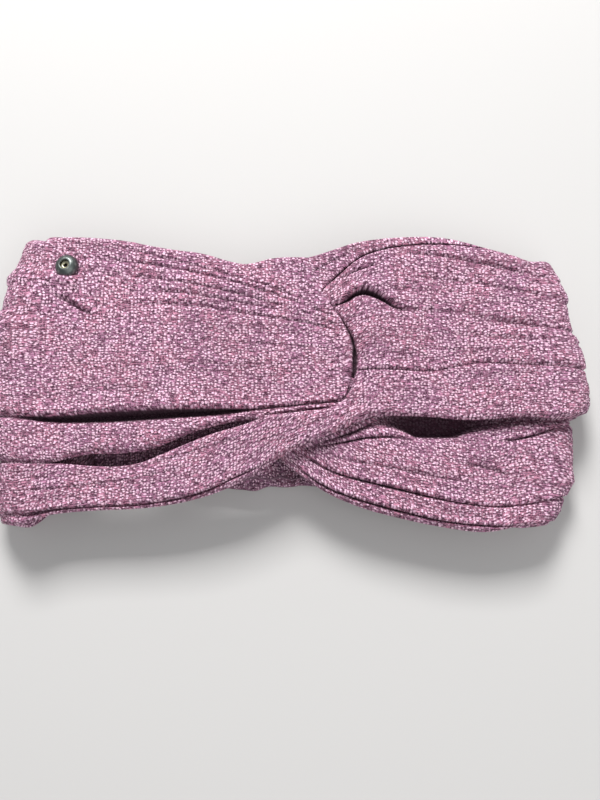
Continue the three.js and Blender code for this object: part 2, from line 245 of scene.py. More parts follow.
def wornMetal(name, colour, bright, rough, grain):
    # dull plating with fine scratches and brighter, rougher patches
    r = Recipe(name)
    place = r.node("ShaderNodeTexCoord", output="Object")
    cloud = r.node("ShaderNodeTexNoise", output="Fac", Vector=place, Scale=420.0, Detail=4.0)
    scratch = r.node("ShaderNodeTexNoise", output="Fac", Detail=3.0, Scale=1.0,
                     Vector=r.scaled(place, (grain, grain * 0.12, grain)))
    wear = cloud.step(0.5, 0.72)
    shade = r.mix(wear * 0.6, colour, bright)
    bump = r.node("ShaderNodeBump", None, "Normal", Strength=0.25, Distance=0.00005, Height=scratch)
    return r.finish(Base_Color=shade, Metallic=1.0, Roughness=cloud * 0.25 + rough, Normal=bump)


def pathPoints(points, u):
    # A smooth curve through the points, even in their number: Hermite arcs whose tangents come from
    # the square roots of the distances between neighbours, so close points never make it overshoot.
    p = np.asarray(points, float)
    gaps = np.sqrt(np.linalg.norm(np.diff(p, axis=0), axis=1)) + 1e-9
    slope = np.diff(p, axis=0) / gaps[:, None]
    before, after = gaps[:-1, None], gaps[1:, None]
    inner = (slope[:-1] * after + slope[1:] * before) / (before + after)
    tangent = np.vstack([slope[:1], inner, slope[-1:]])
    place = np.clip(u, 0, 1) * (len(p) - 1)
    i = np.minimum(place.astype(int), len(p) - 2)
    f = (place - i)[:, None]
    reach = gaps[i][:, None]
    return ((2 * f**3 - 3 * f**2 + 1) * p[i] + (f**3 - 2 * f**2 + f) * reach * tangent[i]
            + (3 * f**2 - 2 * f**3) * p[i + 1] + (f**3 - f**2) * reach * tangent[i + 1])


def latticeNoise(x, y, seed):
    # smooth noise between -1 and 1: random values on whole numbers, blended between them
    size = 128
    table = np.random.default_rng(seed).uniform(-1, 1, (size, size))
    i, j = np.floor(x).astype(int), np.floor(y).astype(int)
    f, g = x - i, y - j
    f, g = f * f * (3 - 2 * f), g * g * (3 - 2 * g)
    corner = lambda a, b: table[(i + a) % size, (j + b) % size]
    return ((corner(0, 0) * (1 - f) + corner(1, 0) * f) * (1 - g)
            + (corner(0, 1) * (1 - f) + corner(1, 1) * f) * g)


def smoothStep(value, low, high):
    share = np.clip((value - low) / (high - low), 0, 1)
    return share * share * (3 - 2 * share)


# A crease's wall is steeper under the lip, and its far side is part wall and part soft tail. The lip's
# height and how far it slides over are shares of the depth, up to a most in millimetres.
creaseShape = {"seenAt": 23.0, "steep": 0.42, "narrowest": 0.35, "wallShare": 0.72, "tailShare": 0.28,
               "tailLength": 2.2, "lipShare": 0.25, "lipMost": 1.1, "slideShare": 0.2, "slideMost": 0.7}


def creaseField(x, y, creases):
    # How the creases move the cloth. Each is a line of x, y, depth and half width, drawn so that the pleat
    # on its left hangs over it. That side drops like a wall under a raised lip; the other rises slowly.
    sunk, lip = np.zeros(x.shape), np.zeros(x.shape)
    slide = np.zeros(x.shape + (2,))
    c = creaseShape
    for points in creases:
        line = pathPoints(points, np.linspace(0, 1, 5 * len(points)))
        line[:, 0], line[:, 1] = fromView(line[:, 0], line[:, 1], c["seenAt"])
        reach = 5 * line[:, 3].max() + 6
        near = ((x > line[:, 0].min() - reach) & (x < line[:, 0].max() + reach)
                & (y > line[:, 1].min() - reach) & (y < line[:, 1].max() + reach))
        px, py = x[near], y[near]
        nearest = np.full(px.shape, 1e9)
        deep, wide, side = np.zeros(px.shape), np.ones(px.shape), np.ones(px.shape)
        across = np.zeros(px.shape + (2,))
        for a, b in zip(line[:-1], line[1:]):
            run = b[:2] - a[:2]
            length = max(math.hypot(*run), 1e-6)
            share = np.clip(((px - a[0]) * run[0] + (py - a[1]) * run[1]) / length**2, 0, 1)
            offX, offY = px - a[0] - share * run[0], py - a[1] - share * run[1]
            away = np.hypot(offX, offY)
            closer = away < nearest
            nearest = np.where(closer, away, nearest)
            deep = np.where(closer, a[2] + share * (b[2] - a[2]), deep)
            wide = np.where(closer, a[3] + share * (b[3] - a[3]), wide)
            side = np.where(closer, np.sign(run[0] * offY - run[1] * offX), side)
            across[closer] = (-run[1] / length, run[0] / length)
        above = side > 0
        deep = np.maximum(deep, 0)
        ratio = nearest / np.maximum(np.where(above, c["steep"] * wide, wide), c["narrowest"])
        wall = np.exp(-ratio**3)
        farSide = c["wallShare"] * wall + c["tailShare"] * np.exp(-ratio / c["tailLength"])
        fall = np.where(above, wall, farSide) * deep
        lipHeight = np.minimum(c["lipShare"] * deep, c["lipMost"])
        raised = np.where(above, lipHeight * (1 - wall) * np.exp(-((ratio - 2.5) / 3) ** 2), 0)
        slideBy = np.minimum(c["slideShare"] * deep, c["slideMost"])
        over = np.where(above, slideBy * np.exp(-((ratio - 1) / 1.4) ** 2), 0)
        old = sunk[near]
        sunk[near] = np.maximum(old, fall) + 0.2 * np.minimum(old, fall)
        lip[near] += raised
        slide[near] -= over[:, None] * across
    return sunk, lip, slide


def largestNear(field, steps):
    # each value becomes the largest one within so many steps along both directions of the grid
    for axis in (0, 1):
        padded = np.pad(field, [(steps, steps) if a == axis else (0, 0) for a in (0, 1)], mode="edge")
        count = field.shape[axis]
        field = np.max([np.take(padded, np.arange(s, s + count), axis) for s in range(2 * steps + 1)], axis=0)
    return field


def meshPiece(name, points, faces, uv=None, sunk=None):
    # a smooth mesh; the shader paints a place darker the larger its value of sunk, painted shade in creases
    # and under terraces
    mesh = bpy.data.meshes.new(name)
    mesh.from_pydata(np.asarray(points).tolist(), [], faces if isinstance(faces, list) else faces.tolist())
    mesh.polygons.foreach_set("use_smooth", np.full(len(mesh.polygons), True))
    corners = np.zeros(len(mesh.loops), np.int32)
    mesh.loops.foreach_get("vertex_index", corners)
    if uv is not None:
        layer = mesh.uv_layers.new(name="cloth")
        layer.data.foreach_set("uv", uv[corners].astype(np.float32).ravel())
    if sunk is not None:
        depthLayer = mesh.attributes.new("sunk", "FLOAT", "POINT")
        depthLayer.data.foreach_set("value", sunk.astype(np.float32))
    mesh.update()
    piece = bpy.data.objects.new(name, mesh)
    bpy.context.scene.collection.objects.link(piece)
    return piece


def tubeFaces(rows, ring, closed):
    # quads of a grid whose columns close into a ring, and whose rows close too if asked
    last = rows if closed else rows - 1
    i, j = np.meshgrid(np.arange(last), np.arange(ring), indexing="ij")
    a = i * ring + j
    b = i * ring + (j + 1) % ring
    c = ((i + 1) % rows) * ring + (j + 1) % ring
    d = ((i + 1) % rows) * ring + j
    return np.stack([a, b, c, d], -1).reshape(-1, 4)


def finishPiece(piece, material, body, slot, *nodes):
    piece.data.materials.clear()
    piece.data.materials.append(material)
    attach(piece, body)
    if nodes:
        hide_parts(*nodes)
    return piece


def foldArc(side, outX, y, lowZ, highZ):
    # half a turn of cloth; side -1 goes up round the left fold, +1 down round the right one
    radius = (highZ - lowZ) / 2
    angles = np.radians([-90, -45, 0, 45, 90])[::-side]
    centreX = outX - side * (depth / 2 + radius)
    return [(centreX + side * radius * math.cos(a), y, (highZ + lowZ) / 2 + radius * math.sin(a))
            for a in angles]


bandRules = {
    "topFrom": 12, "hiddenPace": 0.6,  # rows are further apart below this height, where they can't be seen
    "foldSeenAt": 12.5,
    "creasesFade": (98, 116),  # between these distances from the middle, creases fade to half their depth
    # a terrace drops over the first pair; the second number is the share of that drop painted as shade
    "terraceRun": (-0.8, 3.2), "terracePaintedShade": 0.6,
    "pushFrom": 1.6, "pushReach": 4,  # a deeper crease pushes the inner side down too
    "clothStart": 300,
}
# noise added to the cloth: pitch along, pitch across, seed and height
ripples = [(38, 5.5, 3, 0.45), (16, 3.1, 4, 0.22), (30, 22, 5, 0.6)]
nubbles = [(0.95, 0.8, 6, 0.12), (2.1, 1.3, 7, 0.1)]


def layeredNoise(x, y, layers):
    return sum(latticeNoise(x / alongPitch, y / acrossPitch, seed) * height
               for alongPitch, acrossPitch, seed, height in layers)


def bandShape(pattern):
    # The middle of the band is ruled between two edge curves. Its outer side stands half the
    # thickness above that, rounded at both edges, less the creases and plus small wrinkles.
    lowEdge, highEdge = placed(pattern["low"]), placed(pattern["high"])
    last = len(lowEdge) - 1
    fine = np.linspace(0, 1, 4001)
    low, high = pathPoints(lowEdge, fine), pathPoints(highEdge, fine)
    lowPace, highPace = (np.linalg.norm(np.diff(curve, axis=0), axis=1) for curve in (low, high))
    pace = np.maximum(lowPace, highPace)
    onTop = 0.25 * (low[1:, 2] + low[:-1, 2] + high[1:, 2] + high[:-1, 2]) > bandRules["topFrom"]
    pace = np.where(onTop, pace, pace * bandRules["hiddenPace"])
    walked = np.concatenate([[0], np.cumsum(pace)])
    rows = int(walked[-1] / pattern["step"])
    u = np.interp(np.linspace(0, walked[-1], rows), walked, fine)
    low, high = pathPoints(lowEdge, u), pathPoints(highEdge, u)
    k = np.linspace(0, 1, pattern["columns"])
    t = 0.75 * k + 0.25 * (0.5 - 0.5 * np.cos(np.pi * k))
    base = low[:, None] + t[None, :, None] * (high - low)[:, None]
    wide = np.linalg.norm(high - low, axis=1)[:, None]
    along = np.gradient(base, axis=0)
    normal = np.cross(along, np.gradient(base, axis=1))
    normal /= np.linalg.norm(normal, axis=2, keepdims=True) + 1e-12

    # the cloth unrolled: x goes on past each fold by the distance walked round it
    walk = np.cumsum(np.linalg.norm(np.diff(base, axis=0, prepend=base[:1]), axis=2), axis=0)
    first, final = (np.searchsorted(u * last, pattern["top"]) - [0, 1]).tolist()
    unrolled = base[..., 0].copy()
    unrolled[:first] = base[first, :, 0] - (walk[first] - walk[:first])
    unrolled[final:] = base[final, :, 0] + (walk[final:] - walk[final])
    flatY = base[..., 1].copy()

    # each fold stands out as far as its outline says
    for fold in pattern["folds"]:
        middle = np.searchsorted(u * last, fold["at"])
        outX, outY = fromView(np.array([x for _, x in fold["outline"]], float),
                              np.array([y for y, _ in fold["outline"]], float), bandRules["foldSeenAt"])
        order = np.argsort(outY)
        wanted = np.interp(flatY[middle], outY[order], outX[order]) - fold["side"] * depth / 2
        near = np.exp(-((u * last - fold["at"]) / fold["reach"]) ** 2)[:, None]
        base[..., 0] += near * (wanted - base[middle, :, 0])[None]

    edge = np.minimum(t, 1 - t)[None] * wide
    radius = np.minimum(pattern["rounding"], wide / 2)
    inside = np.clip(edge / radius, 0, 1)
    rise = depth / 2 * np.sqrt(np.clip(1 - (1 - inside) ** 2, 0, 1))
    inside = smoothStep(inside, 0, 1)
    sunk, lip, slide = creaseField(unrolled, flatY, pattern["creases"])
    turning = 1 - 0.5 * smoothStep(np.abs(unrolled), *bandRules["creasesFade"])
    sunk, lip, slide = sunk * turning, lip * turning, slide * turning[..., None]
    # painted shade: what the shader gets as sunk is the crease depth plus a share of each terrace's drop
    dark = sunk.copy()
    for terrace in pattern["terraces"]:
        line = pathPoints(terrace, np.linspace(0, 1, 60))
        lineX, lineY = fromView(line[:, 0], line[:, 1], creaseShape["seenAt"])
        past = flatY - np.interp(unrolled, lineX, lineY)
        fall = np.interp(unrolled, lineX, line[:, 2], left=0) * smoothStep(past, *bandRules["terraceRun"])
        sunk, dark = sunk + fall, dark + bandRules["terracePaintedShade"] * fall
    for x, y, reachX, reachY, height in pattern["swells"]:
        x, y = fromView(x, y, creaseShape["seenAt"])
        reach = np.where(flatY < y, 3.2 * reachY, reachY)
        lip = lip + height * np.exp(-((unrolled - x) / reachX) ** 2 - ((flatY - y) / reach) ** 2)
    ripple = layeredNoise(unrolled, flatY, ripples)
    nubble = layeredNoise(unrolled, flatY, nubbles)
    outer = base + normal * (rise + (ripple + lip - sunk) * inside + nubble)[..., None]
    outer[..., :2] += slide * inside[..., None]
    innerAt = np.linspace(0, pattern["columns"] - 1, pattern["innerColumns"]).astype(int)[1:-1][::-1]
    push = largestNear(np.clip(sunk - bandRules["pushFrom"], 0, None), bandRules["pushReach"]) * inside
    innerRise = rise + push + latticeNoise(unrolled / 24, flatY / 6, 8) * 0.4 * inside
    inner = (base - normal * innerRise[..., None])[:, innerAt]
    ring = np.concatenate([outer, inner], axis=1)

    # The weave: flat in plan before the row where the band goes out of sight, and past it in rows
    # that keep their distance from the low edge.
    meet = np.searchsorted(u * last, pattern["meet"])
    fromRow = meet if meet < 0.9 * rows else 0
    lowX, lowY = unrolled[fromRow:, 0], flatY[fromRow:, 0]
    lowLength = np.concatenate([[0], np.cumsum(np.hypot(np.diff(lowX), np.diff(lowY)))])
    order = np.argsort(lowX)
    beyond = unrolled - np.clip(unrolled, lowX.min(), lowX.max())
    follow = np.stack([np.interp(unrolled, lowX[order], lowLength[order]) + beyond + bandRules["clothStart"],
                       flatY - np.interp(unrolled, lowX[order], lowY[order])], -1)
    flat = np.stack([unrolled, flatY + pattern["tilt"] * (unrolled - 20) * smoothStep(flatY, 24, 60)], -1)
    cloth = np.where((np.arange(rows) < meet)[:, None, None] if pattern["flatWeave"] else False, flat, follow)
    # round each edge it goes on in a straight line, to a join in the middle of the inner side
    edgeCloth = np.where((t[innerAt] > 0.5)[None, :, None], cloth[:, -1:], cloth[:, :1])
    clothRing = np.concatenate([cloth, 2 * edgeCloth - cloth[:, innerAt]], axis=1)
    paintedShadeRing = np.concatenate([dark, dark[:, innerAt]], axis=1)
    return {"ring": ring, "cloth": clothRing, "sunk": paintedShadeRing}


floorGap = 0.0004


def bandPiece(name, shape):
    rows, ring = shape["ring"].shape[:2]
    points = (shape["ring"] * fit * mm).reshape(-1, 3)
    points[:, 2] = np.maximum(points[:, 2], floorGap)
    # each open end is closed by a fan round its middle
    points = np.vstack([points, points[:ring].mean(0), points[-ring:].mean(0)])
    uv = shape["cloth"].reshape(-1, 2) * mm
    uv = np.vstack([uv, uv[:1], uv[-1:]])
    sunk = np.append(shape["sunk"].ravel(), [0, 0])
    j = np.arange(ring)
    after = (j + 1) % ring
    start, end = rows * ring, rows * ring + 1
    last = (rows - 1) * ring
    caps = [(start, int(a), int(b)) for a, b in zip(j, after)]
    caps += [(end, int(b), int(a)) for a, b in zip(last + j, last + after)]
    faces = tubeFaces(rows, ring, False)[:, ::-1].tolist() + caps
    return meshPiece(name, points, faces, uv, sunk)


casingBox = [np.array(c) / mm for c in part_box("back_casing")]
seamGap = 0.6
seamLeft = casingBox[0][0] - nominal["middle"][0] - seamGap
seamRight = casingBox[1][0] - nominal["middle"][0] + seamGap
casingLowY = casingBox[0][1] - nominal["middle"][1]
casingHighY = casingBox[1][1] - nominal["middle"][1]
top, over, under, rest, joinAt = level["top"], level["over"], level["under"], level["rest"], level["casing"]

# how far out the folds are seen to stand, as y and x
leftOutline = [(62, -104), (58, -108.5), (53, -109.8), (48, -112), (44, -115.6), (38, -116.6), (31, -118),
               (28.5, -121), (26, -122.5), (-9, -122.5), (-12, -120), (-14.5, -122.5), (-29, -122.5),
               (-31.5, -120), (-34.5, -122.5), (-50, -122), (-55, -119)]
rightOutline = [(60, 90), (56, 97.5), (54, 101.5), (51, 106), (48, 108.7), (42, 112.2), (36, 114.6),
                (29.5, 115.4), (23, 116.8), (17, 120), (11, 122), (4.6, 123.6), (-2, 124.4), (-8, 125),
                (-12, 123.6), (-14, 119), (-33, 119.2), (-39, 119.6), (-42.5, 117.6), (-45, 115.8),
                (-51.5, 114), (-55, 111), (-58, 107)]


def twistSlit(shift, spread):
    # Both bands sink along one line beside the left panel's rounded edge. The right band's is a little
    # wider, and its own edge is tucked in under that panel.
    middle = [(21, -9.5, 0.8, 0.8), (23.6, -5, 2.6, 0.9), (25.6, 1, 4.6, 1.1), (26.9, 9, 7, 1.4),
              (26.1, 19, 5, 1.1), (22.2, 27, 2.6, 0.9), (17.5, 33.5, 1.2, 0.8)]
    return [(x + shift, y, deep, wide * spread) for x, y, deep, wide in middle]


leftBand = {
    "low": [(seamLeft, -20, joinAt), (-99, -27, rest), *foldArc(-1, -124.5, -31.9, rest, top),
            (-98, -31.6, top), (-89, -29.5, top), (-82, -28.3, top), (-70, -28.1, top), (-58, -26.5, top),
            (-50, -23.7, top), (-41, -19.8, top - 0.5), (-30, -16.6, 20.5), (-20, -14.5, 19.3),
            (-15.5, -14.2, under), (-13.5, -14.8, under), (-12, -15.5, under), (-10.8, -17, under),
            (-9.7, -18.7, under), (-8.5, -20.5, under), (-7, -22.5, under), (-5.5, -25, under),
            (-4.5, -27, under), (-3.5, -29.5, under), (-1, -32.6, under), (4.5, -36.6, under),
            (16.2, -44.4, under), (30.7, -50.6, under + 0.5), (46.5, -54.9, under + 0.5),
            (63, -58.4, under + 0.5), (82, -60.6, under), *foldArc(1, 109, -57.8, rest, under),
            (70, -52, rest), (seamRight, casingLowY, joinAt)],
    "high": [(seamLeft, casingHighY, joinAt), (-95, 54, rest), *foldArc(-1, -111, 60.2, rest, top - 0.6),
             (-99, 61.3, top), (-92, 61.6, top + 0.3), (-86, 61.6, top + 0.4), (-76, 61, top + 0.2),
             (-66, 59.9, top), (-57, 58.1, top), (-47, 56.4, top), (-36, 55, top), (-18, 50.6, top),
             (-6, 53, top), (4, 53.4, top), (9, 52.8, top), (11.5, 47, top), (14, 40.5, top),
             (18, 33.5, top), (22.6, 26.8, top), (25.6, 17, top), (26, 8, top - 0.4), (24.8, -1, 21.2),
             (23.6, -7, 20), (25, -12, under), (30, -14, under), (39, -12, under),
             (50, -10.5, under - 1), (62, -10, under - 1), (73, -10, under - 1), (86, -10.4, under - 2),
             *foldArc(1, 119.8, -12.4, rest, under - 2.5), (78, -12.5, rest), (seamRight, -8.2, joinAt)],
    "top": (6.6, 33), "meet": 25, "step": 0.74, "columns": 132, "innerColumns": 30, "rounding": 2.6,
    "flatWeave": True, "tilt": 0.06,
    "terraces": [[(19, -22.6, 0), (26, -20.4, 0.8), (33, -17.4, 2.5), (38, -16.4, 4), (44, -17.4, 6),
                  (50, -19.8, 7),
                  (54, -21.6, 7.5), (63, -21.8, 7.5), (70, -21.7, 7.5), (76, -19.4, 6.8), (84, -17.5, 5.8),
                  (93, -16.2, 5), (101, -15.4, 4.4), (110, -14.9, 4), (124, -14.4, 3.4), (150, -14, 3)]],
    "swells": [(-92, 43.9, 8, 1.4, 3.2), (-60, 8, 46, 12, 0.7), (60, -30, 24, 4, 0.6)],
    "folds": [{"at": 4, "reach": 2.1, "side": -1, "outline": leftOutline},
              {"at": 35, "reach": 1.8, "side": 1, "outline": rightOutline}],
    "creases": [
        twistSlit(0.5, 1),
        [(-170, -7, 3, 1.3), (-140, -10, 3.5, 1.3), (-124, -11.4, 4, 1.3), (-98, -12.9, 7, 2),
         (-77, -11.8, 9, 3), (-53, -10.5, 9, 3), (-28, -9.2, 7, 2.2), (-14, -8.6, 3.4, 0.9),
         (7, -6.9, 2.6, 0.8), (20, -5.3, 2.6, 0.8), (24, -3.4, 1.2, 0.8)],
        [(-10, -11.6, 0.5, 0.8), (5, -9.8, 1.6, 0.8), (18, -8.4, 1.6, 0.8)],
        [(-98, 37.8, 0.2, 1.4), (-94, 36.8, 1.8, 1.5), (-90, 35.1, 2.8, 1.5), (-85, 31.8, 2.6, 1.3),
         (-81, 29.2, 0.6, 1.2)],
        [(-84, 52.5, 0.2, 1.3), (-66, 51.5, 1, 1.3), (-40, 47.5, 1.2, 1.1), (-16, 41.5, 1.1, 1.1),
         (2, 35.8, 1, 1),
         (17, 29.6, 0.7, 0.9)],
        [(-70, 57, 0.2, 1.1), (-48, 52, 0.9, 1.1), (-22, 45.4, 0.9, 1.1), (-4, 40, 0.8, 1),
         (10, 34.6, 0.6, 0.9)],
        [(-78, 46, 0.1, 1.4), (-54, 44.4, 1, 1.3), (-26, 39.6, 1, 1.1), (-4, 34, 1, 1), (16, 27.8, 0.6, 0.9)],
        [(-74, 40, 0.1, 1.4), (-48, 39, 0.9, 1.4), (-20, 35, 1, 1.1), (2, 30.4, 0.9, 1),
         (20, 25.4, 0.6, 0.9)],
        [(-150, 31, 1, 2), (-119, 30, 1.5, 1.6), (-104, 29.4, 0.8, 1.8), (-86, 29, 0.3, 2)],
        [(-64, 33.6, 0.3, 1.6), (-40, 33.4, 0.9, 1.4), (-12, 29.6, 1, 1), (8, 26.4, 0.9, 0.9),
         (21, 23, 0.7, 0.8)],
        [(-150, 44, 0.6, 1.6), (-116, 43.5, 0.9, 1.6), (-106, 43, 0.3, 1.6)],
        [(-60, 20, 0, 1.4), (-30, 19, 0.5, 1.2), (0, 17, 0.6, 1), (24, 15, 0.4, 0.8)],
        [(3, -26.6, 1, 1), (12, -23.4, 2.6, 1.1), (20, -20.8, 3, 1.1), (27, -18.4, 3, 1.2),
         (34, -15.4, 2, 1.2)],
        [(2, -26.4, 0.6, 0.8), (13, -24.3, 2.4, 0.9), (24, -22.4, 3, 1), (33, -20.6, 3, 1),
         (43, -20.2, 2.4, 1),
         (50, -21.4, 1, 1)],
        [(3, -26, 1, 1), (13.7, -32.4, 2.4, 1), (22, -36, 3.2, 1), (35, -39.4, 3.6, 1), (47, -42.3, 3.6, 1),
         (63, -46.2, 3.2, 0.9), (72, -48, 2.6, 0.8), (88.4, -49.6, 2, 0.8), (99, -48.6, 1.8, 0.8),
         (108, -46.6, 2, 0.9), (118, -44, 2.6, 1), (150, -41, 1.5, 1)],
        [(3, -32.4, 1, 1), (9.5, -37.4, 2.6, 1), (18.3, -42.3, 3.6, 1), (28.6, -46.2, 4, 1),
         (39.4, -49.4, 4, 1),
         (46.5, -51.2, 4, 1), (63, -55.2, 3.6, 0.9), (76.4, -57, 3, 0.8), (90, -57.9, 2.4, 0.8),
         (101, -57.3, 2, 0.8), (120, -54, 1.6, 0.9)],
        [(90, -22.4, 0.2, 1), (95, -21.2, 2.6, 1), (104, -18.9, 3.8, 1.1), (112, -16.6, 3.8, 1.1),
         (119, -14.6, 2.6, 1), (126, -13.6, 1.4, 1)],
        [(72, -33, 0.1, 2), (80, -32.6, 1.6, 2), (88, -35, 1.4, 1.8), (96, -39, 0.2, 1.8)],
        [(20, -30, 0.4, 1.4), (40, -33, 1.2, 1.4), (64, -38, 0.9, 1.6), (88, -42, 0.3, 1.6)]],
}

rightBand = {
    "low": [(seamLeft, casingLowY, joinAt), (-99, -49, rest), *foldArc(-1, -123, -57.4, rest, top - 1),
            (-100, -53.8, top - 1), (-93, -52.7, top - 1), (-86, -52.1, top - 1), (-76, -51.5, top - 1),
            (-66, -51.2, top - 1), (-56, -50.3, top - 0.8), (-45, -48.6, top - 0.5), (-32.8, -45.4, top),
            (-20.8, -40.4, top + 1.5), (-6.6, -31.8, over - 0.8), (4.2, -25.6, over), (13, -21.7, over),
            (20, -19, over), (25, -16.7, over - 0.4), (29, -15, over - 1.2), (34, -13.2, over - 2.2),
            (41, -12.4, top + 0.4), (47, -12.5, top), (55, -12.7, top), (62, -13.1, top), (69, -13.9, top),
            (77, -14.2, top), (87, -13.5, top), (97, -12.7, top), *foldArc(1, 125.2, -13.6, rest, top),
            (78, -10.5, rest), (seamRight, -7.4, joinAt)],
    "high": [(seamLeft, -21, joinAt), (-99, -28, rest), *foldArc(-1, -124.5, -31.3, rest, top - 1),
             (-98, -31.8, top - 1.2), (-89, -32.6, top - 1.4), (-80, -33.3, top - 1.6),
             (-70, -33.3, top - 1.5),
             (-61, -31.8, top - 1.2), (-53, -28.6, top - 0.8), (-44, -24.8, top - 0.4), (-32, -20, top + 0.6),
             (-20, -16.5, over - 1.6), (-8, -12.6, over - 0.6), (5, -10.6, over), (15, -9.4, over),
             (22, -7.2, over - 0.9), (24.8, -2.6, top - 0.8), (23.2, 8, top - 2.4), (22, 18.6, top - 2.2),
             (19, 27, top - 2),
             (15.6, 33.6, top - 1.2), (14.2, 39, top - 0.2), (20.4, 45.2, top), (30.5, 53.4, top),
             (45, 57.6, top),
             (66, 58.6, top), (84, 56, top), *foldArc(1, 106.5, 51.5, level["button"], top - 1),
             (64, 50, level["button"] - 1), (seamRight, casingHighY, joinAt)],
    "top": (6.6, 30), "meet": 37, "step": 0.74, "columns": 128, "innerColumns": 30, "rounding": 2.5,
    "flatWeave": False, "tilt": 0, "terraces": [], "swells": [],
    "folds": [{"at": 4, "reach": 2, "side": -1, "outline": leftOutline},
              {"at": 33, "reach": 1.7, "side": 1, "outline": rightOutline}],
    "creases": [
        twistSlit(0, 1.25),
        [(14.5, 33.6, 1, 0.9), (20, 34.2, 3, 1), (24, 36.2, 5, 1.3), (27.4, 38.9, 7, 1.6),
         (31.4, 40.1, 8, 1.8),
         (36, 39, 7.4, 1.8), (40.6, 36.4, 5.6, 1.7), (44.8, 33.4, 3, 1.8), (52, 31.2, 1.1, 2.8),
         (70.6, 30, 0.9, 3),
         (83.8, 27.4, 1.1, 2.8), (100.4, 25, 1.5, 2), (118, 23.5, 2, 1.4), (150, 21, 1.2, 1.6)],
        [(20, 43.6, 0.4, 0.8), (29, 48.4, 1.8, 0.8), (38, 50.6, 0.3, 0.8)],
        [(40, 53.6, 0.1, 1.1), (58, 54.4, 0.9, 1.5), (75, 51.5, 1.2, 1.6), (93, 47.7, 1, 1.4),
         (110, 44.5, 1.3, 1.3), (140, 42, 0.8, 1.4)],
        [(34, 45.6, 0.1, 1.1), (54, 45, 0.8, 1.4), (76, 42.4, 0.8, 1.6), (100, 38, 1, 1.5),
         (116, 35, 1.3, 1.4),
         (145, 32, 0.7, 1.6)],
        [(26, 6.2, 2.6, 0.8), (32, 7.4, 2.4, 0.8), (45, 7.2, 2.2, 0.7), (61.4, 6.8, 1.6, 0.7),
         (73, 9.1, 1.3, 0.8),
         (82, 10, 1.5, 0.9), (95.5, 9.5, 1.8, 0.9), (118, 8.3, 2.3, 1), (150, 7, 1.4, 1)],
        [(52, 22, 0.1, 2.3), (76, 20.6, 0.7, 2.1), (96, 19.4, 1, 1.7), (118, 18.5, 1.3, 1.4),
         (150, 16, 0.7, 1.6)],
        [(60, 0, 0.1, 1.8), (84, -1.2, 0.6, 1.6), (104, -2.4, 0.8, 1.4), (122, -3, 0.9, 1.3),
         (150, -3, 0.6, 1.4)],
        [(-150, -44, 0.6, 1.9), (-122, -44, 0.8, 1.7), (-96, -42.6, 0.7, 1.9), (-60, -38, 0.5, 1.9),
         (-30, -30, 0.3, 1.7),
         (-4, -21, 0.4, 1.3), (16, -14.6, 0.3, 1.1)],
        [(-124, -52.4, 2.6, 2), (-110, -52.6, 3.6, 2), (-98, -51, 3, 1.7), (-84, -50, 2.2, 1.2),
         (-62, -48.8, 2.6, 1.1), (-46, -46.4, 2.8, 1.1), (-33, -42.8, 2.6, 1), (-21, -37.4, 2.2, 0.9),
         (-8, -32, 0.6, 0.8)],
        [(-122, -39, 0.3, 1.7), (-90, -37.4, 0.5, 1.7), (-56, -32, 0.5, 1.6), (-20, -21.6, 0.4, 1.2),
         (6, -15.6, 0.3, 1.1)]],
}

# The left band's upper pleat runs on behind the right band's top edge.
topPleat = {
    "low": [(-14, 36, 20.6), (-4, 36.6, 21.4), (5, 36.6, 21.6), (13, 38, 21), (21.4, 44.8, 20.6),
            (31.2, 52, 20.6), (45, 55.4, 20.6), (66, 56.4, 20.6), (84, 52.4, 20), (94, 48, 18),
            (100, 44, 16)],
    "high": [(-14, 46, 20.6), (-5, 50.6, 21.4), (4, 52.6, 22), (10.4, 53.8, 22.6), (18, 56.2, 23),
             (28, 59.4, 23), (43, 61.4, 23), (64, 61.4, 22.8), (82, 57.2, 22), (93, 54, 19.4),
             (102, 50.6, 16)],
    "top": (0.1, 9.9), "meet": 10, "step": 0.7, "columns": 30, "innerColumns": 6, "rounding": 1.8,
    "flatWeave": True, "tilt": 0.06, "folds": [], "terraces": [], "swells": [],
    "creases": [[(13, 38.6, 1, 0.9), (20, 46.2, 3, 1), (30.2, 54.4, 3.6, 1.1), (44.8, 58.6, 3.6, 1.1),
                 (66, 59.6, 3.2, 1), (84, 56.6, 2, 1), (94, 53.6, 0.8, 0.9)],
                [(2, 44, 0.1, 0.9), (12, 48.5, 0.8, 0.8), (20, 53, 0.5, 0.7)]],
}

boucle = boucleCloth("boucle_cloth", clothLook)
leftShape = bandShape(leftBand)
leftPiece = bandPiece("left_band_cloth", leftShape)
finishPiece(leftPiece, boucle, "band", "boucle_cloth", "left_band")
rightShape = bandShape(rightBand)
rightPiece = bandPiece("right_band_cloth", rightShape)
finishPiece(rightPiece, boucle, "band", "boucle_cloth", "right_band")
pleatShape = bandShape(topPleat)
pleatPiece = bandPiece("left_band_top_pleat", pleatShape)
finishPiece(pleatPiece, boucle, "band", "boucle_cloth")
print("bands made", len(leftPiece.data.polygons), len(rightPiece.data.polygons))


casing = {"gathers": 23, "depth": 0.9, "drift": 0.8, "edgeWave": 1.6, "edgeDraw": 2, "rows": 170, "ring": 180,
          "sideRound": 0.75, "squareness": 0.16, "clothStretch": 1.4, "thickness": 0.0009}


